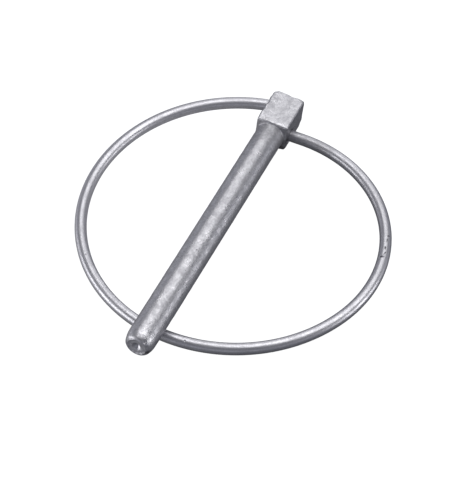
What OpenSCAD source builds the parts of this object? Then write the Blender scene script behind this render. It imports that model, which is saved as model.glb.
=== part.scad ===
// Linch pin: a square-headed steel pin with a spring-wire snap ring.
// +X runs along the shank from the head to the tip and +Z is up. The origin lies on the
// shank's axis where the shank leaves the head. Millimetres.

/* [Shank] */
// Diameter of the shank
shank_d = 8; // [6:0.1:8.4]
// Length of the shank from the head's shoulder to the tip
shank_l = 85; // [60:1:120]
// Radius that rounds the edge of the tip
tip_r = 1.3; // [0.5:0.1:2]
// Diameter of the centre mark in the tip's end face
mark_d = 1.8; // [1:0.1:3]
// Depth of the centre mark
mark_depth = 0.5; // [0.2:0.1:1]

/* [Head] */
// Length of the square head along the pin
head_l = 12.4; // [11:0.1:20]
// Width of the head between the two faces that hold the ring
head_w = 9.2; // [8:0.1:14]
// Height of the head
head_h = 9.2; // [8:0.1:14]
// Radius that rounds the head's edges
head_edge_r = 0.4; // [0.2:0.1:1]
// How far the middle between the two ring holes lies ahead of the head's middle
hinge_ahead = 0.2; // [0:0.1:0.5]
// How far each ring hole lies from the middle between them, along the pin
hole_shift_x = 2.4; // [1:0.1:3]
// How far each ring hole lies from the middle between them, in height
hole_shift_z = 1.6; // [0.5:0.1:1.9]
// Depth of each ring hole below its face
hole_depth = 5.2; // [3:0.1:6]

/* [Ring] */
// Diameter of the ring's wire
wire_d = 3.3; // [2:0.1:3.5]
// How far the ring crosses the shank short of the tip, measured to the wire's middle
crossing_back = 10.8; // [6:0.1:20]
// How far the ring's farthest point lies to the right of the shank's axis
ring_offset = 4.25; // [0:0.05:6]
// Radius of the short bend where the left end goes into the head
end_bend_r = 4; // [3:0.5:8]
// Straight length of the right end outside the head
right_lead = 3.6; // [1:0.1:8]
// How far the ring leans up on the right, in degrees
lean = 4.5; // [0:0.5:6]
// Length of the bevel on each end of the wire
wire_bevel = 0.4; // [0.1:0.1:0.8]

/* [Fits] */
// Gap left between the wire and its hole at either end of the ring's swing
hole_play = 0.05; // [0.02:0.01:0.2]
// Gap between the wire's end and the bottom of its hole
end_play = 0.4; // [0.2:0.1:1]
// Gap between the ring and the shank where the ring rests on it
rest_gap = 0.2; // [0.1:0.05:0.5]

/* [Hidden] */
$fn = 96;
shank_r = shank_d / 2;
// The ring turns about a line along Y, midway between its two holes.
hinge_x = hinge_ahead - head_l / 2;
ring_reach = shank_l - crossing_back - hinge_x;
closed_angle = asin((shank_r + wire_d / 2 + rest_gap) / ring_reach);
stub_in = hole_depth - end_play;
// The wire moves in its holes as the ring swings to either side, and it lies in them at
// the ring's lean, so each hole has room for both.
swing_room = norm([hole_shift_x, hole_shift_z]) * sin(closed_angle);
lean_room = stub_in / 2 * tan(lean);
hole_r = wire_d / 2 + hole_play + swing_room + lean_room;
// The ring's farthest point, and the direction of the wire there towards side s,
// where s is 1 on the right and -1 on the left. Both are seen from the hinge line,
// with the ring turned in line with the shank.
crossing = [ring_reach, ring_offset, ring_offset * tan(lean)];
function side_dir(s) = s * [0, cos(lean), sin(lean)];
// Where the wire turns straight into its hole on side s
function stub_mid(s) = s * [hole_shift_x, head_w / 2 - stub_in / 2, -hole_shift_z];
function stub_len(s) = stub_in + (s > 0 ? right_lead : 0);
function stub_start(s) = stub_mid(s) + (stub_len(s) - stub_in / 2) * side_dir(s);
// The same point from the crossing: v along the wire's first direction, u square to it
function stub_v(s) = (stub_start(s) - crossing) * side_dir(s);
function towards_head(s) = stub_start(s) - crossing - stub_v(s) * side_dir(s);
function stub_u(s) = norm(towards_head(s));
// The left half is one bend that turns by left_turn, then the short end bend.
left_turn = 2 * atan2(stub_u(-1) - 2 * end_bend_r, stub_v(-1));
front_r = end_bend_r + stub_v(-1) / sin(left_turn);
// The right half is the same bend for front_turn, then a smaller one that ends square
// to the head. Their two centres lie centre_step apart.
front_turn = 2 * atan2(stub_v(1), 2 * front_r - stub_u(1));
centre_step = stub_v(1) / sin(front_turn);
side_r = front_r - centre_step;

// The wire is drawn as stretches that follow each other. Each starts join_l inside the one
// before and is join_step thinner all round, so the two become one solid with a clean seam.
// Stretch 0 is the first, and joins is how many joins lie before a stretch.
join_l = 0.1;
join_step = 0.005;
function stretch_r(joins) = wire_d / 2 - joins * join_step;

// One bend of the wire. It is centred at c and starts at angle from, where 0 points
// from c back to the crossing.
module bend(c, r, from, to, joins) {
    start = from - (joins > 0 ? join_l / r * 180 / PI : 0);
    translate([c.x, c.y, 0])
        rotate([0, 0, 180 - to])
            rotate_extrude(angle = to - start)
                translate([r, 0])
                    circle(r = stretch_r(joins));
}

// The straight end of the wire, from (u, v) back towards v = 0, with a bevelled tip
module straight_end(u, v, l, joins) {
    r = stretch_r(joins);
    translate([u, v, 0])
        rotate([90, 0, 0]) {
            translate([0, 0, -join_l])
                cylinder(r = r, h = l - wire_bevel + join_l);
            translate([0, 0, l - wire_bevel])
                cylinder(r1 = r, r2 = r - wire_bevel, h = wire_bevel);
        }
}

// Places a flat half of the ring, drawn from the crossing in u and v, on side s
module half_plane(s) {
    e = towards_head(s) / stub_u(s);
    t = side_dir(s);
    n = cross(e, t);
    multmatrix([
        [e.x, t.x, n.x, crossing.x],
        [e.y, t.y, n.y, crossing.y],
        [e.z, t.z, n.z, crossing.z],
    ])
        children();
}

module left_half()
    half_plane(-1) {
        bend([front_r, 0], front_r, 0, left_turn, 0);
        bend([front_r - (front_r - end_bend_r) * cos(left_turn),
              (front_r - end_bend_r) * sin(left_turn)], end_bend_r, left_turn, 180, 1);
        straight_end(stub_u(-1), stub_v(-1), stub_len(-1), 2);
    }

module right_half()
    half_plane(1) {
        bend([front_r, 0], front_r, 0, front_turn, 1);
        bend([front_r - centre_step * cos(front_turn), stub_v(1)], side_r, front_turn, 180, 2);
        straight_end(stub_u(1), stub_v(1), stub_len(1), 3);
    }

// A rectangle with round corners, about its middle
module round_rect(x, y, r) {
    square([x - 2 * r, y], center = true);
    square([x, y - 2 * r], center = true);
    for (i = [-1, 1], j = [-1, 1])
        translate([i * (x / 2 - r), j * (y / 2 - r)])
            circle(r = r);
}

// The square head, rounded along all its edges
module head_block()
    translate([-head_l / 2, 0, 0])
        intersection() {
            translate([0, 0, -head_h / 2])
                linear_extrude(head_h)
                    round_rect(head_l, head_w, head_edge_r);
            rotate([90, 0, 0])
                translate([0, 0, -head_w / 2])
                    linear_extrude(head_w)
                        round_rect(head_l, head_h, head_edge_r);
            rotate([0, 90, 0])
                translate([0, 0, -head_l / 2])
                    linear_extrude(head_l)
                        round_rect(head_h, head_w, head_edge_r);
        }

// The shank with its rounded tip; it is drawn upright and laid along X
module shank()
    rotate([0, 90, 0])
        rotate_extrude() {
            translate([0, hinge_x])
                square([shank_r, shank_l - hinge_x - tip_r]);
            translate([0, shank_l - tip_r])
                square([shank_r - tip_r, tip_r]);
            intersection() {
                translate([shank_r - tip_r, shank_l - tip_r])
                    circle(r = tip_r);
                square([shank_r, shank_l]);
            }
        }

// The blind hole for the wire in the head's face on side s
module ring_hole(s)
    translate([hinge_x + s * hole_shift_x, s * (head_w / 2 - hole_depth), -s * hole_shift_z])
        rotate([-s * 90, 0, 0])
            cylinder(r = hole_r, h = hole_depth + head_w);

module pin()
    color("darkgray")
        difference() {
            union() {
                head_block();
                shank();
            }
            for (s = [-1, 1])
                ring_hole(s);
            translate([shank_l - mark_depth, 0, 0])
                rotate([0, 90, 0])
                    cylinder(d1 = 0, d2 = 2 * mark_d, h = 2 * mark_depth);
        }

module ring()
    color("silver")
        translate([hinge_x, 0, 0])
            rotate([0, closed_angle, 0]) {
                left_half();
                right_half();
            }

pin();
ring();
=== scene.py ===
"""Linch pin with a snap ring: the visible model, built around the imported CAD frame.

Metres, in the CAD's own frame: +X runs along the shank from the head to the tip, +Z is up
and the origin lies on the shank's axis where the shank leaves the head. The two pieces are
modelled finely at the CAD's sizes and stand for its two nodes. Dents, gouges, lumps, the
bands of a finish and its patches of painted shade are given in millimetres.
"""
from __future__ import annotations

import logging
import math
from collections.abc import Callable, Iterable, Iterator
from dataclasses import dataclass
from enum import Enum

import bmesh
import bpy
from mathutils import Matrix, Vector

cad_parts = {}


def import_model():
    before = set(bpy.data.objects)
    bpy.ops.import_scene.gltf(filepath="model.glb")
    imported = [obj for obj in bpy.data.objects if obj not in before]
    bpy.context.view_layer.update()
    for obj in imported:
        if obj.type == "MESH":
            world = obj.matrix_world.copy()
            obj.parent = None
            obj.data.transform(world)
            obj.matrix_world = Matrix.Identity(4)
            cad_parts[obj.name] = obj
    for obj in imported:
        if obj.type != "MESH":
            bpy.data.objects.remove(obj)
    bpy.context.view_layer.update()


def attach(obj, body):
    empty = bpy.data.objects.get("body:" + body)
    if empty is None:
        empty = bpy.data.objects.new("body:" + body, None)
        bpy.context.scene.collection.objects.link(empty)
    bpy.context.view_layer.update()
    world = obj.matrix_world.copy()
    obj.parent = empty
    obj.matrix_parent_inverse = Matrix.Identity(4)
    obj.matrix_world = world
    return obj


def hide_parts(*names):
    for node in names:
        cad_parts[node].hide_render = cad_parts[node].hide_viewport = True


log = logging.getLogger("linch_pin")

MM = 0.001
Colour = tuple[float, float, float, float]
Triple = tuple[float, float, float]
ALONG_X = (0.0, math.pi / 2, 0.0)
ALONG_Y = (-math.pi / 2, 0.0, 0.0)
WHITE: Colour = (1.0, 1.0, 1.0, 1.0)

# Sizes that the pin and the ring share
SHANK_D = 8.0 * MM
HEAD_W = 9.2 * MM
HINGE_X = -6.0 * MM
HOLE_SHIFT_X = 2.4 * MM
HOLE_SHIFT_Z = 1.6 * MM

# How far a face may lie from a plane and still count as on it
TOUCH = 0.01 * MM
# Vertices nearer to each other than this are merged
DOUBLE = 1e-7
# Edges that turn more than this are rounded with a bevel
SQUARE_EDGE = math.radians(60)


class Body(Enum):
    """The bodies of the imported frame."""

    PIN = "pin"
    RING = "ring"


class Slot(Enum):
    """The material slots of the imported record."""

    PLATED = "plated_steel"
    WIRE = "spring_wire"


class Side(Enum):
    """The head's two sides, as seen from behind the head: RIGHT is +Y."""

    LEFT = -1
    RIGHT = 1


@dataclass(frozen=True)
class Dent:
    """A soft dent: a place, a push and a radius, in millimetres."""

    place: Triple
    move: Triple
    radius: float


@dataclass(frozen=True)
class Gouge:
    """A small gouge: a place and half sizes in millimetres, and a turn in degrees."""

    place: Triple
    half_size: Triple
    turn: Triple


@dataclass(frozen=True)
class Lumps:
    """Soft lumps in the pin's surface, with their size and depth in millimetres.

    They start at from_x along the pin and go as far as reach from its axis.
    """

    name: str
    size: float
    depth: float
    from_x: float = -math.inf
    reach: float = math.inf


class Workbench:
    """The few steps that every piece is modelled with."""

    @staticmethod
    def clear() -> None:
        """Leaves edit mode and deselects everything."""
        if bpy.context.object is not None and bpy.context.object.mode != "OBJECT":
            bpy.ops.object.mode_set(mode="OBJECT")
        bpy.ops.object.select_all(action="DESELECT")

    @staticmethod
    def pick(obj: bpy.types.Object) -> None:
        """Makes an object the only selected one, and the active one.

        Args:
            obj: The object.
        """
        Workbench.clear()
        obj.select_set(True)
        bpy.context.view_layer.objects.active = obj

    @staticmethod
    def edit(obj: bpy.types.Object, kind: str = "VERT") -> None:
        """Opens an object in edit mode with nothing selected.

        Args:
            obj: The mesh object to open.
            kind: VERT, EDGE or FACE, the kind of element to select.
        """
        Workbench.pick(obj)
        bpy.ops.object.mode_set(mode="EDIT")
        bpy.ops.mesh.select_mode(type=kind)
        bpy.ops.mesh.select_all(action="DESELECT")

    @staticmethod
    def mark(obj: bpy.types.Object, mesh: bmesh.types.BMesh, elements: Iterable[object],
             chosen: Iterable[object]) -> None:
        """Selects only some vertices or faces, in the open edit mode.

        Args:
            obj: The object that is open in edit mode.
            mesh: Its mesh.
            elements: All the mesh's vertices, or all its faces.
            chosen: Those to select.
        """
        for element in elements:
            element.select_set(False)
        for element in chosen:
            element.select_set(True)
        mesh.select_flush_mode()
        bmesh.update_edit_mesh(obj.data)

    @staticmethod
    def choose(obj: bpy.types.Object, test: Callable[[Vector], bool]) -> None:
        """Selects what lies at a place, in the open edit mode.

        Args:
            obj: The object that is open in edit mode.
            test: Says of a vertex's place, or a face's middle, whether it is chosen.
        """
        mesh = bmesh.from_edit_mesh(obj.data)
        if "FACE" in mesh.select_mode:
            chosen = [face for face in mesh.faces if test(face.calc_center_median())]
            Workbench.mark(obj, mesh, mesh.faces, chosen)
        else:
            chosen = [vertex for vertex in mesh.verts if test(vertex.co)]
            Workbench.mark(obj, mesh, mesh.verts, chosen)

    @staticmethod
    def close() -> None:
        """Goes back to object mode."""
        bpy.ops.object.mode_set(mode="OBJECT")

    @staticmethod
    def name(obj: bpy.types.Object, name: str) -> bpy.types.Object:
        """Names an object and its mesh.

        Args:
            obj: The object.
            name: The name of both.

        Returns:
            The object.
        """
        obj.name = name
        obj.data.name = name
        return obj

    @staticmethod
    def apply_modifier(obj: bpy.types.Object, kind: str, **settings: object) -> None:
        """Adds a modifier to an object and applies it.

        Args:
            obj: The object to change.
            kind: The modifier's type, such as BOOLEAN.
            settings: The modifier's settings by name.
        """
        Workbench.pick(obj)
        bpy.ops.object.modifier_add(type=kind)
        modifier = obj.modifiers[-1]
        for key, value in settings.items():
            setattr(modifier, key, value)
        bpy.ops.object.modifier_apply(modifier=modifier.name)

    @staticmethod
    def combine(obj: bpy.types.Object, tool: bpy.types.Object, operation: str) -> None:
        """Unites an object with a tool or cuts the tool from it, and deletes the tool.

        Args:
            obj: The object to change.
            tool: The closed mesh to add or to cut away.
            operation: UNION or DIFFERENCE.
        """
        Workbench.apply_modifier(obj, "BOOLEAN", operation=operation, solver="EXACT", object=tool)
        Workbench.pick(tool)
        bpy.ops.object.delete()

    @staticmethod
    def apply_place(obj: bpy.types.Object) -> None:
        """Puts the object's place, turn and scale into its mesh."""
        Workbench.pick(obj)
        bpy.ops.object.transform_apply(location=True, rotation=True, scale=True)

    @staticmethod
    def push(obj: bpy.types.Object, dents: tuple[Dent, ...]) -> None:
        """Pushes soft dents into a finely meshed piece.

        Args:
            obj: The piece.
            dents: The dents, each pushed at the vertex nearest to its place.
        """
        Workbench.edit(obj, "VERT")
        for dent in dents:
            place = Vector(dent.place) * MM
            mesh = bmesh.from_edit_mesh(obj.data)
            nearest = min(mesh.verts, key=lambda vertex: (vertex.co - place).length_squared)
            Workbench.mark(obj, mesh, mesh.verts, [nearest])
            bpy.ops.transform.translate(
                value=Vector(dent.move) * MM, use_proportional_edit=True,
                proportional_edit_falloff="SMOOTH", proportional_size=dent.radius * MM)
        Workbench.close()

    @staticmethod
    def gouge(obj: bpy.types.Object, gouges: tuple[Gouge, ...]) -> None:
        """Cuts small gouges with turned and flattened balls.

        Args:
            obj: The piece.
            gouges: The gouges.
        """
        for mark in gouges:
            Workbench.clear()
            bpy.ops.mesh.primitive_ico_sphere_add(
                subdivisions=2, radius=1, location=Vector(mark.place) * MM,
                rotation=tuple(math.radians(angle) for angle in mark.turn))
            cutter = bpy.context.object
            cutter.scale = Vector(mark.half_size) * MM
            Workbench.apply_place(cutter)
            Workbench.combine(obj, cutter, "DIFFERENCE")

    @staticmethod
    def face_outwards(obj: bpy.types.Object) -> None:
        """Merges doubles and turns all faces of a closed mesh outwards.

        Args:
            obj: The object.
        """
        Workbench.edit(obj)
        bpy.ops.mesh.select_all(action="SELECT")
        bpy.ops.mesh.remove_doubles(threshold=DOUBLE)
        bpy.ops.mesh.normals_make_consistent(inside=False)
        Workbench.close()


class NodeSheet:
    """Adds nodes to one node tree and joins them."""

    def __init__(self, tree: bpy.types.NodeTree) -> None:
        """Takes the tree to work on."""
        self.tree = tree

    def add(self, kind: str, inputs: dict[str | int, object] | None = None,
            **settings: object) -> bpy.types.Node:
        """Adds a node.

        Args:
            kind: The node's type name.
            inputs: What goes into its sockets, a value or another node's output.
            settings: The node's own settings by name.

        Returns:
            The new node.
        """
        node = self.tree.nodes.new(kind)
        for key, value in settings.items():
            setattr(node, key, value)
        for key, value in (inputs or {}).items():
            self.feed(node.inputs[key], value)
        return node

    def feed(self, socket: bpy.types.NodeSocket, value: object) -> None:
        """Fills a socket.

        Args:
            socket: The socket.
            value: The value to set, or another node's output to link.
        """
        if isinstance(value, bpy.types.NodeSocket):
            self.tree.links.new(value, socket)
        else:
            socket.default_value = value

    def math(self, operation: str, first: object, second: object = 0.0) -> bpy.types.NodeSocket:
        """Adds a Math node.

        Args:
            operation: The operation's name.
            first: The first number or output.
            second: The second one, where the operation has it.

        Returns:
            The result.
        """
        return self.add("ShaderNodeMath", {0: first, 1: second}, operation=operation).outputs[0]

    def span(self, value: object, low: float, high: float, to_low: float = 0.0,
             to_high: float = 1.0) -> bpy.types.NodeSocket:
        """Maps a stretch of values smoothly to another, and holds it beyond both ends.

        Args:
            value: The output to map.
            low: One end of the stretch.
            high: The other end, which may be the lower one.
            to_low: What low becomes.
            to_high: What high becomes.

        Returns:
            The mapped value.
        """
        return self.add("ShaderNodeMapRange", {
            "Value": value, "From Min": low, "From Max": high, "To Min": to_low,
            "To Max": to_high}, interpolation_type="SMOOTHSTEP").outputs["Result"]

    def noise(self, place: object, size: object, detail: float = 2.0,
              roughness: float = 0.5) -> bpy.types.NodeSocket:
        """Adds a noise.

        Args:
            place: The output that gives the place.
            size: About how wide its features are, in metres or as an output.
            detail: How many finer noises are laid on it.
            roughness: How strong the finer ones are.

        Returns:
            The noise's value, about 0.5 on average.
        """
        scale = 1.0 / size if isinstance(size, float) else self.math("DIVIDE", 1.0, size)
        return self.add("ShaderNodeTexNoise", {
            "Vector": place, "Scale": scale, "Detail": detail, "Roughness": roughness,
        }).outputs["Fac"]

    def mix(self, share: object, first: object, second: object,
            blend: str = "MIX") -> bpy.types.NodeSocket:
        """Mixes two colours.

        Args:
            share: How much the second colour counts, from 0 to 1.
            first: The first colour or output.
            second: The second one.
            blend: MIX, or another way to lay the second colour on the first.

        Returns:
            The mixed colour.
        """
        return self.add("ShaderNodeMix", {"Factor": share, "A": first, "B": second},
                        data_type="RGBA", blend_type=blend).outputs["Result"]


class SurfaceEffects:
    """The shader node groups that both finishes use."""

    # The part of a noise that makes clouds, from the darkest to the lightest
    CLOUD_RANGE = (0.36, 0.64)
    # The ring's middle, in X and Y
    RING_MIDDLE = (33 * MM, 4 * MM)
    # What one radian round the ring counts as in the lines' noise. The wire is about 40 mm
    # long there, so the noise is drawn out along it.
    LINE_RADIAN = 2.5 * MM
    PIT_PATCH = 6 * MM
    # Where a pit, and a patch that has pits, goes over from 0 to 1
    PIT_EDGE = (0.0, 0.6)
    PATCH_EDGE = (0.95, 1.05)

    def __init__(self) -> None:
        """Builds each group once."""
        self.mottle = self._mottle()
        self.grain = self._grain()
        self.lines = self._lines()
        self.pits = self._pits()

    @staticmethod
    def _group(name: str, inputs: dict[str, float],
               output: str) -> tuple[NodeSheet, bpy.types.Node, bpy.types.Node]:
        """Starts a node group.

        Args:
            name: The group's name.
            inputs: Its number inputs and their defaults. A Place vector comes before them.
            output: The name of its number output.

        Returns:
            The group's sheet, its input node and its output node.
        """
        tree = bpy.data.node_groups.new(name, "ShaderNodeTree")
        tree.interface.new_socket("Place", in_out="INPUT", socket_type="NodeSocketVector")
        for key, value in inputs.items():
            socket = tree.interface.new_socket(key, in_out="INPUT", socket_type="NodeSocketFloat")
            socket.default_value = value
        tree.interface.new_socket(output, in_out="OUTPUT", socket_type="NodeSocketFloat")
        sheet = NodeSheet(tree)
        return sheet, sheet.add("NodeGroupInput"), sheet.add("NodeGroupOutput")

    def _mottle(self) -> bpy.types.NodeTree:
        """Makes the soft light and dark clouding of a zinc coat.

        Returns:
            The group, which gives a shade from 0 to 1.
        """
        sheet, given, out = self._group(
            "Clouding", {"Size": 3 * MM, "Fine Size": 0.6 * MM, "Fine Share": 0.5}, "Shade")
        place = given.outputs["Place"]
        both = sheet.add("ShaderNodeMix", {
            "Factor": given.outputs["Fine Share"],
            "A": sheet.noise(place, given.outputs["Size"], detail=3.0, roughness=0.55),
            "B": sheet.noise(place, given.outputs["Fine Size"], detail=3.0, roughness=0.6),
        }, data_type="FLOAT")
        sheet.feed(out.inputs["Shade"], sheet.span(both.outputs["Result"], *self.CLOUD_RANGE))
        return sheet.tree

    def _grain(self) -> bpy.types.NodeTree:
        """Makes fine sandy grain.

        Returns:
            The group, which gives a height from 0 to 1.
        """
        sheet, given, out = self._group("Sandy grain", {"Size": 0.4 * MM}, "Height")
        grain = sheet.noise(given.outputs["Place"], given.outputs["Size"], detail=3.0,
                            roughness=0.65)
        sheet.feed(out.inputs["Height"], grain)
        return sheet.tree

    def _lines(self) -> bpy.types.NodeTree:
        """Makes fine lines along the bent wire.

        Returns:
            The group, which gives a height from 0 to 1.
        """
        sheet, given, out = self._group("Drawing lines", {"Size": 0.4 * MM}, "Height")
        apart = sheet.add("ShaderNodeSeparateXYZ", {"Vector": given.outputs["Place"]})
        x = sheet.math("SUBTRACT", apart.outputs["X"], self.RING_MIDDLE[0])
        y = sheet.math("SUBTRACT", apart.outputs["Y"], self.RING_MIDDLE[1])
        radius = sheet.math("SQRT", sheet.math("ADD", sheet.math("MULTIPLY", x, x),
                                               sheet.math("MULTIPLY", y, y)))
        along = sheet.math("MULTIPLY", sheet.math("ARCTAN2", y, x), self.LINE_RADIAN)
        bent = sheet.add("ShaderNodeCombineXYZ", {"X": radius, "Y": along,
                                                  "Z": apart.outputs["Z"]})
        lines = sheet.noise(bent.outputs["Vector"], given.outputs["Size"], roughness=0.6)
        sheet.feed(out.inputs["Height"], lines)
        return sheet.tree

    def _pits(self) -> bpy.types.NodeTree:
        """Makes small scattered pits.

        Returns:
            The group, which gives a mask that is 1 in a pit.
        """
        sheet, given, out = self._group("Pits", {"Size": 1.2 * MM, "Radius": 0.2, "Share": 0.4},
                                        "Mask")
        scale = sheet.math("DIVIDE", 1.0, given.outputs["Size"])
        cells = sheet.add("ShaderNodeTexVoronoi", {"Vector": given.outputs["Place"],
                                                   "Scale": scale, "Randomness": 1.0})
        patches = sheet.noise(given.outputs["Place"], self.PIT_PATCH)
        shape = sheet.math("SUBTRACT", 1.0, sheet.math(
            "DIVIDE", cells.outputs["Distance"], given.outputs["Radius"]))
        deep = sheet.span(shape, *self.PIT_EDGE)
        where = sheet.span(sheet.math("ADD", patches, given.outputs["Share"]), *self.PATCH_EDGE)
        sheet.feed(out.inputs["Mask"], sheet.math("MULTIPLY", deep, where))
        return sheet.tree


@dataclass(frozen=True)
class Band:
    """A change of the finish along X that is none at start and whole from end on.

    The change adds to the roughness and multiplies the colour by a grey shade.
    """

    start: float
    end: float
    roughness_gain: float
    shade: float


@dataclass(frozen=True)
class PaintedShadePatch:
    """A round patch of painted shade in the colour, fading from its core out to its radius.

    The core is a share of the radius.
    """

    place: Triple
    radius: float
    roughness_gain: float
    shade: float
    core: float = 0.35


@dataclass(frozen=True)
class Speckles:
    """A stretch along X with more pits than elsewhere, most of all in its core.

    The core is a share of the half length.
    """

    middle: float
    half_length: float
    core: float = 0.4
    share_gain: float = 0.25


@dataclass(frozen=True)
class CutEnd:
    """A rough end face square to X, round a smooth mark.

    The rim and the mark's edge are each a pair of shares of the radius, from smooth to rough.
    """

    start: float
    radius: float
    rim: tuple[float, float] = (1.0, 0.92)
    mark_edge: tuple[float, float] = (0.45, 0.55)
    depth: float = 0.2
    roughness_gain: float = 0.25


@dataclass(frozen=True)
class SteelFinish:
    """A dull zinc-plated steel surface."""

    name: str
    colour: Colour
    dark_colour: Colour
    pit_colour: Colour
    edge_tint: Colour
    metallic: float
    roughness: tuple[float, float]
    cloud_size: float
    cloud_fine_size: float
    grain_size: float
    grain_depth: float
    pit_size: float
    pit_share: float
    pit_depth: float
    lined: bool = False
    bands: tuple[Band, ...] = ()
    # Round patches of painted shade in the colour, some also a little rougher
    painted_shade_patches: tuple[PaintedShadePatch, ...] = ()
    speckles: Speckles | None = None
    cut_end: CutEnd | None = None

    def build(self, effects: SurfaceEffects) -> bpy.types.Material:
        """Builds the material.

        Args:
            effects: The shared node groups.

        Returns:
            The finished material.
        """
        material = bpy.data.materials.new(self.name)
        material.use_nodes = True
        sheet = NodeSheet(material.node_tree)
        shader = material.node_tree.nodes["Principled BSDF"]
        place = sheet.add("ShaderNodeTexCoord").outputs["Object"]
        apart = sheet.add("ShaderNodeSeparateXYZ", {"Vector": place})
        shade = sheet.add("ShaderNodeGroup", {
            "Place": place, "Size": self.cloud_size, "Fine Size": self.cloud_fine_size,
        }, node_tree=effects.mottle).outputs["Shade"]
        height = sheet.add(
            "ShaderNodeGroup", {"Place": place, "Size": self.grain_size},
            node_tree=effects.lines if self.lined else effects.grain).outputs["Height"]
        pitted = sheet.add("ShaderNodeGroup", {
            "Place": place, "Size": self.pit_size,
            "Share": self._pit_share(sheet, apart.outputs["X"]),
        }, node_tree=effects.pits).outputs["Mask"]

        tone = sheet.mix(shade, self.dark_colour, self.colour)
        tone = sheet.mix(pitted, tone, self.pit_colour)
        rough = sheet.span(shade, 0.0, 1.0, self.roughness[1], self.roughness[0])
        # Each band changes the colour and roughness along X. Each patch paints shade into the
        # colour by its shade, and adds its roughness gain.
        for mask, change in self._changes(sheet, place, apart.outputs["X"]):
            gain = sheet.math("MULTIPLY", mask, change.roughness_gain)
            rough = sheet.math("ADD", rough, gain)
            grey = (change.shade, change.shade, change.shade, 1.0)
            tone = sheet.mix(mask, tone, grey, "MULTIPLY")
        if self.cut_end:
            gain = sheet.math("MULTIPLY", self._end_face(sheet, apart),
                              self.cut_end.roughness_gain)
            rough = sheet.math("ADD", rough, gain)
        relief = sheet.math("SUBTRACT", sheet.math("MULTIPLY", height, self.grain_depth),
                            sheet.math("MULTIPLY", pitted, self.pit_depth))
        bump = sheet.add("ShaderNodeBump", {"Height": relief, "Strength": 1.0, "Distance": 1.0})

        sheet.feed(shader.inputs["Base Color"], tone)
        sheet.feed(shader.inputs["Roughness"], rough)
        sheet.feed(shader.inputs["Normal"], bump.outputs["Normal"])
        shader.inputs["Metallic"].default_value = self.metallic
        shader.inputs["Specular Tint"].default_value = self.edge_tint
        return material

    def _changes(self, sheet: NodeSheet, place: bpy.types.NodeSocket,
                 along: bpy.types.NodeSocket) -> Iterator[tuple[object, Band | PaintedShadePatch]]:
        """Makes the mask of each band and each patch of painted shade.

        Args:
            sheet: The material's node tree.
            place: The place on the piece.
            along: The place along X.

        Yields:
            The mask, and the band or the patch of painted shade.
        """
        for band in self.bands:
            yield sheet.span(along, band.start * MM, band.end * MM), band
        for shade_patch in self.painted_shade_patches:
            away = sheet.add("ShaderNodeVectorMath", {0: place, 1: Vector(shade_patch.place) * MM},
                             operation="DISTANCE").outputs["Value"]
            radius = shade_patch.radius * MM
            yield sheet.span(away, radius, shade_patch.core * radius), shade_patch

    def _end_face(self, sheet: NodeSheet, apart: bpy.types.Node) -> bpy.types.NodeSocket:
        """Makes the mask of the rough end face.

        Args:
            sheet: The material's node tree.
            apart: The node that gives the place's X, Y and Z.

        Returns:
            The mask.
        """
        end = self.cut_end
        radius = end.radius * MM
        start = end.start * MM
        flat = sheet.add("ShaderNodeCombineXYZ", {"X": apart.outputs["Y"],
                                                  "Y": apart.outputs["Z"]})
        out = sheet.add("ShaderNodeVectorMath", {0: flat.outputs["Vector"]},
                        operation="LENGTH").outputs["Value"]
        rim, mark = (sheet.span(out, *(share * radius for share in edge))
                     for edge in (end.rim, end.mark_edge))
        face = sheet.span(apart.outputs["X"], start - end.depth * MM, start)
        return sheet.math("MULTIPLY", sheet.math("MULTIPLY", rim, mark), face)

    def _pit_share(self, sheet: NodeSheet, along: bpy.types.NodeSocket) -> object:
        """Says how much of the surface has pits.

        Args:
            sheet: The material's node tree.
            along: The place along X.

        Returns:
            A number, or an output where the finish has a stretch with more pits.
        """
        if self.speckles is None:
            return self.pit_share
        half = self.speckles.half_length * MM
        off = sheet.math("ABSOLUTE", sheet.math("SUBTRACT", along, self.speckles.middle * MM))
        return sheet.span(off, self.speckles.core * half, half,
                          self.pit_share + self.speckles.share_gain, self.pit_share)


ZINC_COAT = SteelFinish(
    name="Dull zinc coat", colour=(0.68, 0.675, 0.70, 1.0), dark_colour=(0.46, 0.456, 0.48, 1.0),
    pit_colour=(0.14, 0.14, 0.15, 1.0), edge_tint=(0.45, 0.45, 0.47, 1.0), metallic=0.9,
    roughness=(0.27, 0.42), cloud_size=2.4 * MM, cloud_fine_size=0.7 * MM,
    grain_size=0.40 * MM, grain_depth=0.075 * MM, pit_size=1.0 * MM, pit_share=0.34,
    pit_depth=0.05 * MM,
    # The shank is darker beside the head, and the head is lighter than the shank.
    bands=(Band(11.0, 2.0, 0.12, 0.82), Band(0.5, -0.5, -0.12, 1.22)),
    # Painted shade on the head's lower front corner, its face beside the right hole and its upper
    # right corner, and a painted dark reflection on the tip's lower right rim
    painted_shade_patches=(PaintedShadePatch((0.2, 3.6, -4.3), 2.6, 0.0, 0.40), PaintedShadePatch((0.1, 4.7, -1.2), 1.8, 0.0, 0.55),
           PaintedShadePatch((84.7, 3.4, -1.1), 1.7, 0.0, 0.30), PaintedShadePatch((-12.3, 4.6, 3.3), 1.4, 0.0, 0.50)),
    speckles=Speckles(middle=60.0, half_length=11.0), cut_end=CutEnd(start=84.3, radius=2.55))

DRAWN_WIRE = SteelFinish(
    name="Plated spring wire", colour=(0.65, 0.645, 0.675, 1.0),
    dark_colour=(0.55, 0.546, 0.575, 1.0), pit_colour=(0.2, 0.2, 0.21, 1.0),
    edge_tint=(0.4, 0.4, 0.42, 1.0), metallic=0.92, roughness=(0.34, 0.44),
    cloud_size=4.0 * MM, cloud_fine_size=0.5 * MM, grain_size=0.5 * MM,
    grain_depth=0.025 * MM, pit_size=1.6 * MM, pit_share=0.3, pit_depth=0.02 * MM, lined=True,
    # Painted shade, with a little more roughness, on the wire where it leaves the right hole
    painted_shade_patches=(PaintedShadePatch((-3.6, 9.0, -1.6), 15.0, 0.05, 0.74),))


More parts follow.
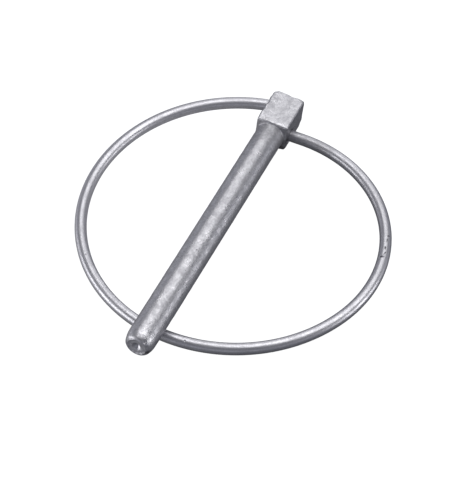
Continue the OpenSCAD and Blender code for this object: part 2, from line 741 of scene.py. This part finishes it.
@dataclass
class HeadedPin:
    """The square head and the round shank, one piece of steel."""

    shank_d: float = SHANK_D
    shank_l: float = 85.0 * MM
    shank_sides: int = 96
    # The tip's outline: how far back from the end face, and the radius there
    tip_outline: tuple[tuple[float, float], ...] = (
        (3.4, 4.0), (2.6, 3.96), (2.0, 3.87), (1.5, 3.74), (1.0, 3.6), (0.6, 3.45),
        (0.3, 3.24), (0.1, 2.96), (0.0, 2.75))
    lip: float = 0.25 * MM
    dish: float = 0.25 * MM
    mark_r: float = 1.35 * MM
    mark_floor_r: float = 0.1 * MM
    mark_depth: float = 1.2 * MM
    head_l: float = 12.4 * MM
    head_w: float = HEAD_W
    head_h: float = 9.2 * MM
    head_edge_r: float = 0.4 * MM
    worn_edge: float = 0.9 * MM
    hinge_x: float = HINGE_X
    hole_shift_x: float = HOLE_SHIFT_X
    hole_shift_z: float = HOLE_SHIFT_Z
    hole_depth: float = 5.2 * MM
    hole_r: float = 2.099 * MM
    hole_sides: int = 48
    hole_rim: float = 0.2 * MM
    # The size of the mesh's cells, fine enough for the dents and under the triangle limit
    cell: float = 0.2 * MM
    finish: SteelFinish = ZINC_COAT
    # The worn corners and edges of the head
    dents: tuple[Dent, ...] = (
        Dent((0, -4.3, 4.6), (0, 0.05, -0.32), 2.8),
        Dent((-12.4, -4.6, 4.6), (0.30, 0.15, -0.30), 1.4),
        Dent((-12.4, 4.6, 4.6), (0.05, -0.05, -0.20), 1.2),
        Dent((0, 3.4, 4.6), (0, 0, -0.13), 1.1),
        Dent((0, 2.3, 4.6), (0, 0, -0.15), 1.1),
        Dent((0, 1.2, 4.6), (0, 0, -0.15), 1.1),
        Dent((0, 0.1, 4.6), (0, 0, -0.13), 1.1),
        Dent((-7.5, -4.6, 4.6), (0, 0.16, -0.16), 1.6),
        Dent((-4.4, -4.6, 4.6), (0, 0.16, -0.16), 1.6),
        Dent((-10.4, -4.6, 4.6), (0, 0.12, -0.14), 1.4),
        Dent((-12.4, 1.0, 4.6), (0.12, 0, -0.10), 1.5),
        Dent((-12.4, 4.6, -4.6), (0.25, -0.2, 0.3), 1.8),
        Dent((0, 4.6, -4.6), (-0.10, -0.10, 0.2), 1.5),
    )
    # The chips on the tip's rim
    chips: tuple[Gouge, ...] = (
        Gouge((84.8, 1.9, 2.7), (0.9, 0.42, 0.50), (-32, 0, 0)),
        Gouge((84.5, 1.2, 3.40), (0.42, 1.5, 0.30), (-22, 0, 0)),
        Gouge((84.9, 3.1, 0.6), (0.55, 0.35, 1.6), (20, 0, 0)),
        Gouge((84.9, 2.9, -1.2), (0.60, 0.45, 1.3), (-15, 0, 0)),
    )
    # The second ones lie only inside the end face, so the tip's outline stays smooth.
    lumps: tuple[Lumps, ...] = (
        Lumps("Uneven forging", 2.6, 0.10),
        Lumps("Sheared end", 0.6, 0.30, from_x=84.5, reach=2.75),
    )

    def build(self, effects: SurfaceEffects) -> bpy.types.Object:
        """Models the whole pin and dresses it.

        Args:
            effects: The shared node groups.

        Returns:
            The finished piece.
        """
        pin = self._head()
        Workbench.combine(pin, self._shank(), "UNION")
        Workbench.gouge(pin, self.chips)
        for side in Side:
            Workbench.combine(pin, self._hole_cutter(side), "DIFFERENCE")
        Workbench.apply_modifier(pin, "REMESH", mode="VOXEL", voxel_size=self.cell)
        Workbench.apply_modifier(pin, "SMOOTH", factor=0.5, iterations=2)
        self._roughen(pin)
        Workbench.push(pin, self.dents)
        Workbench.face_outwards(pin)
        Workbench.pick(pin)
        bpy.ops.object.shade_smooth()
        pin.data.materials.clear()
        pin.data.materials.append(self.finish.build(effects))
        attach(pin, Body.PIN.value)
        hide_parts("pin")
        log.info("%s: %d faces", pin.name, len(pin.data.polygons))
        return pin

    def _head(self) -> bpy.types.Object:
        """Makes the square head with rounded edges, the top left one worn rounder.

        Returns:
            The head.
        """
        Workbench.clear()
        bpy.ops.mesh.primitive_cube_add(size=1, location=(-self.head_l / 2, 0, 0))
        head = Workbench.name(bpy.context.object, "headed_pin")
        head.scale = (self.head_l, self.head_w, self.head_h)
        Workbench.apply_place(head)
        Workbench.edit(head, "EDGE")
        left = TOUCH - self.head_w / 2
        top = self.head_h / 2 - TOUCH
        Workbench.choose(head, lambda place: place.y < left and place.z > top)
        bpy.ops.mesh.bevel(offset=self.worn_edge, segments=4, profile=0.5, affect="EDGES")
        bpy.ops.mesh.select_all(action="DESELECT")
        bpy.ops.mesh.edges_select_sharp(sharpness=SQUARE_EDGE)
        bpy.ops.mesh.bevel(offset=self.head_edge_r, segments=5, profile=0.5, affect="EDGES")
        Workbench.close()
        return head

    def _shank(self) -> bpy.types.Object:
        """Makes the shank with its rounded tip and the cone mark in its end face.

        Returns:
            The shank.
        """
        Workbench.clear()
        start = -self.head_l / 2
        straight = self.shank_l - self.tip_outline[0][0] * MM
        bpy.ops.mesh.primitive_cylinder_add(
            vertices=self.shank_sides, radius=self.shank_d / 2, depth=straight - start,
            end_fill_type="NGON", location=((start + straight) / 2, 0, 0), rotation=ALONG_X)
        shank = bpy.context.object
        Workbench.apply_place(shank)
        Workbench.edit(shank, "FACE")
        Workbench.choose(shank, lambda place: place.x > straight - TOUCH)
        for (back, r), (next_back, next_r) in zip(self.tip_outline, self.tip_outline[1:]):
            bpy.ops.mesh.extrude_region_move(
                TRANSFORM_OT_translate={"value": ((back - next_back) * MM, 0, 0)})
            bpy.ops.transform.resize(value=(1, next_r / r, next_r / r))
        # A thin lip stays round the dished end face, and the mark lies in its middle.
        face_r = self.tip_outline[-1][1] * MM
        bpy.ops.mesh.inset(thickness=self.lip)
        bpy.ops.mesh.inset(thickness=self.dish / 2)
        bpy.ops.transform.translate(value=(-self.dish, 0, 0))
        bpy.ops.mesh.inset(thickness=face_r - self.lip - self.dish / 2 - self.mark_r)
        bpy.ops.mesh.inset(thickness=self.mark_r - self.mark_floor_r)
        bpy.ops.transform.translate(value=(-self.mark_depth, 0, 0))
        Workbench.close()
        return shank

    def _roughen(self, pin: bpy.types.Object) -> None:
        """Makes the forged surfaces slightly uneven, most of all the sheared end face.

        Args:
            pin: The finely meshed pin.
        """
        for lumps in self.lumps:
            texture = bpy.data.textures.new(lumps.name, "CLOUDS")
            texture.noise_scale = lumps.size * MM
            texture.noise_depth = 2
            group = pin.vertex_groups.new(name=lumps.name)
            chosen = [vertex.index for vertex in pin.data.vertices
                      if vertex.co.x > lumps.from_x * MM
                      and math.hypot(vertex.co.y, vertex.co.z) < lumps.reach * MM]
            group.add(chosen, 1.0, "REPLACE")
            Workbench.apply_modifier(pin, "DISPLACE", texture=texture, strength=lumps.depth * MM,
                                     mid_level=0.5, texture_coords="LOCAL",
                                     vertex_group=lumps.name)
            pin.vertex_groups.remove(pin.vertex_groups[lumps.name])

    def _hole_cutter(self, side: Side) -> bpy.types.Object:
        """Makes the cutter for the blind hole in one side, with a slightly flared rim.

        Args:
            side: The head's side.

        Returns:
            The cutter.
        """
        Workbench.clear()
        s = side.value
        middle = s * (self.head_w / 2 - self.hole_depth / 2)
        bpy.ops.mesh.primitive_cylinder_add(
            vertices=self.hole_sides, radius=self.hole_r, depth=self.hole_depth,
            end_fill_type="NGON", rotation=ALONG_Y,
            location=(self.hinge_x + s * self.hole_shift_x, middle, -s * self.hole_shift_z))
        cutter = bpy.context.object
        Workbench.apply_place(cutter)
        Workbench.edit(cutter, "FACE")
        Workbench.choose(cutter, lambda place: s * place.y > self.head_w / 2 - TOUCH)
        bpy.ops.transform.translate(value=(0, -s * self.hole_rim, 0))
        bpy.ops.mesh.extrude_region_move(TRANSFORM_OT_translate={
            "value": (0, 2 * s * self.hole_rim, 0)})
        grow = 1 + 2 * self.hole_rim / self.hole_r
        bpy.ops.transform.resize(value=(grow, 1, grow))
        Workbench.close()
        return cutter


@dataclass
class SnapRing:
    """The spring-wire ring, bent by spinning one wire section from bend to bend."""

    wire_d: float = 3.3 * MM
    hinge_x: float = HINGE_X
    reach: float = 80.2 * MM
    offset: float = 4.25 * MM
    end_bend_r: float = 4.0 * MM
    right_lead: float = 3.6 * MM
    lean: float = math.radians(4.5)
    wire_bevel: float = 0.4 * MM
    stub_in: float = 4.8 * MM
    hole_shift_x: float = HOLE_SHIFT_X
    hole_shift_z: float = HOLE_SHIFT_Z
    head_w: float = HEAD_W
    shank_d: float = SHANK_D
    rest_gap: float = 0.2 * MM
    sides: int = 40
    step: float = math.radians(1.5)
    fewest_steps: int = 4
    smooth_up_to: float = math.radians(30)
    # The scuffs on the ring's right side, and one beside the shank
    nicks: tuple[Gouge, ...] = (
        Gouge((19.9, 43.35, 1.55), (0.40, 0.40, 0.50), (-20, 0, 10)),
        Gouge((21.6, 43.7, 1.68), (1.00, 0.26, 0.26), (-35, 0, 12)),
        Gouge((24.1, 44.25, 1.52), (0.95, 0.36, 0.36), (-20, 0, 22)),
        Gouge((25.9, 44.8, 1.55), (0.90, 0.22, 0.28), (-20, 0, -6)),
        Gouge((27.2, 44.75, 1.42), (0.42, 0.75, 0.48), (-20, 0, 20)),
        Gouge((74.5, 9.0, -3.50), (0.45, 0.35, 0.34), (0, 25, 30)),
    )
    finish: SteelFinish = DRAWN_WIRE

    def build(self, effects: SurfaceEffects) -> bpy.types.Object:
        """Models the ring and dresses it.

        Args:
            effects: The shared node groups.

        Returns:
            The finished piece.
        """
        ring = self._first_section()
        self._bend_left(ring)
        self._bend_right(ring)
        closed = math.asin((self.shank_d / 2 + self.wire_d / 2 + self.rest_gap) / self.reach)
        ring.rotation_euler = (0, closed, 0)
        ring.location = (self.hinge_x, 0, 0)
        Workbench.apply_place(ring)
        Workbench.face_outwards(ring)
        Workbench.gouge(ring, self.nicks)
        Workbench.pick(ring)
        bpy.ops.object.shade_smooth_by_angle(angle=self.smooth_up_to)
        ring.data.materials.clear()
        ring.data.materials.append(self.finish.build(effects))
        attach(ring, Body.RING.value)
        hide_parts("ring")
        log.info("%s: %d faces", ring.name, len(ring.data.polygons))
        return ring

    def _crossing(self) -> Vector:
        """The wire's middle where it crosses the shank, seen from the hinge line."""
        return Vector((self.reach, self.offset, self.offset * math.tan(self.lean)))

    def _side_dir(self, side: Side) -> Vector:
        """The wire's direction at the crossing towards one side."""
        return side.value * Vector((0, math.cos(self.lean), math.sin(self.lean)))

    def _half(self, side: Side) -> tuple[Vector, Vector, Vector, float, float]:
        """Lays out one half of the ring.

        Args:
            side: The half's side.

        Returns:
            The direction towards the head, the wire's first direction, the spin axis, and
            the straight end's start as u and v along the first two.
        """
        along = self._side_dir(side)
        lead = self.right_lead if side is Side.RIGHT else 0.0
        middle = side.value * Vector((self.hole_shift_x, self.head_w / 2 - self.stub_in / 2,
                                      -self.hole_shift_z))
        start = middle + (self.stub_in / 2 + lead) * along
        from_crossing = start - self._crossing()
        v = from_crossing.dot(along)
        to_head = from_crossing - v * along
        u = to_head.length
        to_head.normalize()
        return to_head, along, to_head.cross(along), u, v

    def _first_section(self) -> bpy.types.Object:
        """Adds the wire's round section at the crossing.

        Returns:
            The ring's object, which has only this section so far.
        """
        Workbench.clear()
        bpy.ops.mesh.primitive_circle_add(
            vertices=self.sides, radius=self.wire_d / 2, location=self._crossing(),
            rotation=(-(math.pi / 2 - self.lean), 0, 0))
        ring = Workbench.name(bpy.context.object, "snap_ring")
        Workbench.apply_place(ring)
        return ring

    def _spin(self, centre: Vector, axis: Vector, angle: float) -> None:
        """Spins the selected section about a bend's centre."""
        steps = max(self.fewest_steps, round(angle / self.step))
        bpy.ops.mesh.spin(steps=steps, angle=angle, center=centre, axis=axis)

    def _straight_end(self, direction: Vector, length: float) -> None:
        """Runs the selected section straight on, and bevels and closes its end.

        Args:
            direction: The wire's direction there.
            length: The straight length, with the bevel.
        """
        for part in (length - self.wire_bevel, self.wire_bevel):
            bpy.ops.mesh.extrude_region_move(TRANSFORM_OT_translate={"value": direction * part})
        shrink = 1 - 2 * self.wire_bevel / self.wire_d
        bpy.ops.transform.resize(value=(shrink, shrink, shrink))
        bpy.ops.mesh.edge_face_add()

    def _start_half(self, ring: bpy.types.Object) -> None:
        """Opens the ring in edit mode and selects its first section.

        Args:
            ring: The ring's object.
        """
        Workbench.edit(ring, "VERT")
        mesh = bmesh.from_edit_mesh(ring.data)
        mesh.verts.ensure_lookup_table()
        Workbench.mark(ring, mesh, mesh.verts, mesh.verts[:self.sides])

    def _front_bend(self) -> tuple[float, float]:
        """Works out the front bend.

        Returns:
            Its radius, and how far the left half turns by it.
        """
        *_, u, v = self._half(Side.LEFT)
        turn = 2 * math.atan2(u - 2 * self.end_bend_r, v)
        return self.end_bend_r + v / math.sin(turn), turn

    def _bend_left(self, ring: bpy.types.Object) -> None:
        """Bends the left half: one long bend, then the short one into the head.

        Args:
            ring: The ring's object.
        """
        to_head, along, axis, _, _ = self._half(Side.LEFT)
        front_r, turn = self._front_bend()
        inner = front_r - self.end_bend_r
        start = self._crossing()
        self._start_half(ring)
        self._spin(start + front_r * to_head, axis, turn)
        self._spin(start + (front_r - inner * math.cos(turn)) * to_head
                   + inner * math.sin(turn) * along, axis, math.pi - turn)
        self._straight_end(-along, self.stub_in)
        Workbench.close()

    def _bend_right(self, ring: bpy.types.Object) -> None:
        """Bends the right half: the front bend, then a smaller one square to the head.

        Args:
            ring: The ring's object.
        """
        to_head, along, axis, u, v = self._half(Side.RIGHT)
        front_r, _ = self._front_bend()
        turn = 2 * math.atan2(v, 2 * front_r - u)
        centre_step = v / math.sin(turn)
        start = self._crossing()
        self._start_half(ring)
        self._spin(start + front_r * to_head, axis, turn)
        self._spin(start + (front_r - centre_step * math.cos(turn)) * to_head + v * along,
                   axis, math.pi - turn)
        self._straight_end(-along, self.stub_in + self.right_lead)
        Workbench.close()


@dataclass(frozen=True)
class Softbox:
    """One soft light, placed by its direction as seen from the part."""

    name: str
    azimuth: float
    elevation: float
    distance: float
    width: float
    height: float
    radiance: float

    def hang(self, middle: Vector) -> None:
        """Hangs the light so that it points at the part.

        Args:
            middle: The point that it aims at.
        """
        data = bpy.data.lights.new(self.name, "AREA")
        data.shape = "RECTANGLE"
        data.size, data.size_y = self.width, self.height
        # Blender's area light has a quarter of its power per area as its radiance.
        data.energy = 4 * self.radiance * self.width * self.height
        light = bpy.data.objects.new(self.name, data)
        turn, rise = math.radians(self.azimuth), math.radians(self.elevation)
        away = Vector((math.cos(turn) * math.cos(rise), math.sin(turn) * math.cos(rise),
                       math.sin(rise)))
        light.location = middle + away * self.distance
        light.rotation_euler = away.to_track_quat("Z", "Y").to_euler()
        bpy.context.scene.collection.objects.link(light)


# Each light's azimuth and elevation are in degrees, and its distance, width and height in
# metres. The radiance comes last.
SOFTBOXES = (
    Softbox("Overhead light", 185, 78, 0.70, 0.80, 0.50, 1.6),
    Softbox("High back light", 195, 45, 0.70, 0.60, 0.26, 0.66),
    Softbox("Back light", 192, 20, 0.70, 0.40, 0.26, 0.9),
    Softbox("Front left light", 312, 11, 0.65, 0.30, 0.36, 1.7),
    Softbox("Left light", 290, 5, 0.65, 0.44, 0.16, 1.7),
    Softbox("Right light", 104, 13, 0.65, 0.34, 0.42, 2.0),
)


@dataclass
class Studio:
    """The camera, the pale floor and the soft lights."""

    eye: Triple = (0.41934, 0.13062, 0.46698)
    azimuth: float = math.radians(107.971)
    elevation: float = math.radians(49.739)
    roll: float = math.radians(8.533)
    lens: float = 165.6
    sensor_width: float = 36.0
    middle: Triple = (0.032, 0.004, 0.0)
    # The plane through the head's rear bottom edge and the ring's underside
    floor_up: Triple = (0.02948, -0.07177, 0.99699)
    floor_point: Triple = (-0.0124, 0.0046, -0.0046)
    floor_half: float = 1.5
    # The part shades the floor under itself, and its lower sides mirror that shade.
    floor_colour: Colour = (0.13, 0.135, 0.15, 1.0)
    floor_roughness: float = 0.9
    mirrored_tint: Colour = (0.86, 0.88, 1.0, 1.0)
    # What metal mirrors changes with the sky's height, from the horizon up, and with the
    # floor's Y. Each band has its two ends, and the strength at each end follows.
    sky_band: tuple[float, float] = (0.05, 0.5)
    sky_mirrored: tuple[float, float] = (0.55, 0.16)
    floor_band: tuple[float, float] = (0.03, -0.055)
    floor_mirrored: tuple[float, float] = (0.02, 0.36)
    # How strongly each one lights dull surfaces
    sky_light: float = 0.35
    floor_light: float = 0.05
    softboxes: tuple[Softbox, ...] = SOFTBOXES

    def build(self) -> None:
        """Sets up the camera, the world, the floor and the lights."""
        self._camera()
        self._world()
        self._floor()
        for softbox in self.softboxes:
            softbox.hang(Vector(self.middle))
        bpy.context.scene.view_settings.view_transform = "Standard"
        log.info("studio ready")

    def _camera(self) -> None:
        """Puts the camera where the photograph was taken from."""
        az, el, roll = self.azimuth, self.elevation, self.roll
        back = Vector((math.sin(az) * math.cos(el), -math.cos(az) * math.cos(el), math.sin(el)))
        level = Vector((math.cos(az), math.sin(az), 0))
        upright = back.cross(level)
        right = level * math.cos(roll) + upright * math.sin(roll)
        up = upright * math.cos(roll) - level * math.sin(roll)
        data = bpy.data.cameras.new("Camera")
        data.lens = self.lens
        data.sensor_width = self.sensor_width
        camera = bpy.data.objects.new("Camera", data)
        camera.matrix_world = Matrix((
            (right.x, up.x, back.x, self.eye[0]), (right.y, up.y, back.y, self.eye[1]),
            (right.z, up.z, back.z, self.eye[2]), (0, 0, 0, 1)))
        bpy.context.scene.collection.objects.link(camera)
        bpy.context.scene.camera = camera

    @staticmethod
    def _backdrop_strength(sheet: NodeSheet, light: float, glossy: object) -> bpy.types.NodeSocket:
        """Makes a backdrop white to the camera and through glass, and dimmer otherwise.

        Args:
            sheet: The node tree to work on.
            light: The strength as a light on dull surfaces.
            glossy: The strength that metal mirrors.

        Returns:
            The strength.
        """
        path = sheet.add("ShaderNodeLightPath")
        seen = sheet.math("MAXIMUM", path.outputs["Is Camera Ray"],
                          path.outputs["Is Transmission Ray"])
        mirrored = sheet.math("MULTIPLY", path.outputs["Is Glossy Ray"], glossy)
        dull = sheet.math("MULTIPLY", path.outputs["Is Diffuse Ray"], light)
        return sheet.math("MAXIMUM", seen, sheet.math("ADD", mirrored, dull))

    def _world(self) -> None:
        """Makes the plain surroundings. Metal mirrors them dimmer than the camera sees them."""
        world = bpy.data.worlds.new("Studio")
        world.use_nodes = True
        bpy.context.scene.world = world
        sheet = NodeSheet(world.node_tree)
        background = world.node_tree.nodes["Background"]
        seen = sheet.add("ShaderNodeLightPath").outputs["Is Camera Ray"]
        sheet.feed(background.inputs["Color"], sheet.mix(seen, self.mirrored_tint, WHITE))
        direction = sheet.add("ShaderNodeTexCoord").outputs["Generated"]
        rise = sheet.add("ShaderNodeSeparateXYZ", {"Vector": direction}).outputs["Z"]
        mirrored = sheet.span(rise, *self.sky_band, *self.sky_mirrored)
        sheet.feed(background.inputs["Strength"],
                   self._backdrop_strength(sheet, self.sky_light, mirrored))

    def _floor(self) -> None:
        """Lays the floor under the part, through the points that it rests on."""
        Workbench.clear()
        bpy.ops.mesh.primitive_plane_add(size=2 * self.floor_half)
        floor = Workbench.name(bpy.context.object, "floor")
        floor.matrix_world = Matrix.Translation(self.floor_point) @ Vector(
            self.floor_up).to_track_quat("Z", "Y").to_matrix().to_4x4()
        material = bpy.data.materials.new("White floor")
        material.use_nodes = True
        sheet = NodeSheet(material.node_tree)
        shader = material.node_tree.nodes["Principled BSDF"]
        shader.inputs["Base Color"].default_value = self.floor_colour
        shader.inputs["Roughness"].default_value = self.floor_roughness
        shader.inputs["Specular IOR Level"].default_value = 0.0
        shader.inputs["Emission Color"].default_value = WHITE
        place = sheet.add("ShaderNodeNewGeometry").outputs["Position"]
        side = sheet.add("ShaderNodeSeparateXYZ", {"Vector": place}).outputs["Y"]
        mirrored = sheet.span(side, *self.floor_band, *self.floor_mirrored)
        sheet.feed(shader.inputs["Emission Strength"],
                   self._backdrop_strength(sheet, self.floor_light, mirrored))
        floor.data.materials.append(material)


def main() -> None:
    """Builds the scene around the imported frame."""
    logging.basicConfig(level=logging.INFO, format="%(name)s: %(message)s")
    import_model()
    Studio().build()
    effects = SurfaceEffects()
    HeadedPin().build(effects)
    SnapRing().build(effects)
    Workbench.clear()


if __name__ == "__main__":
    main()
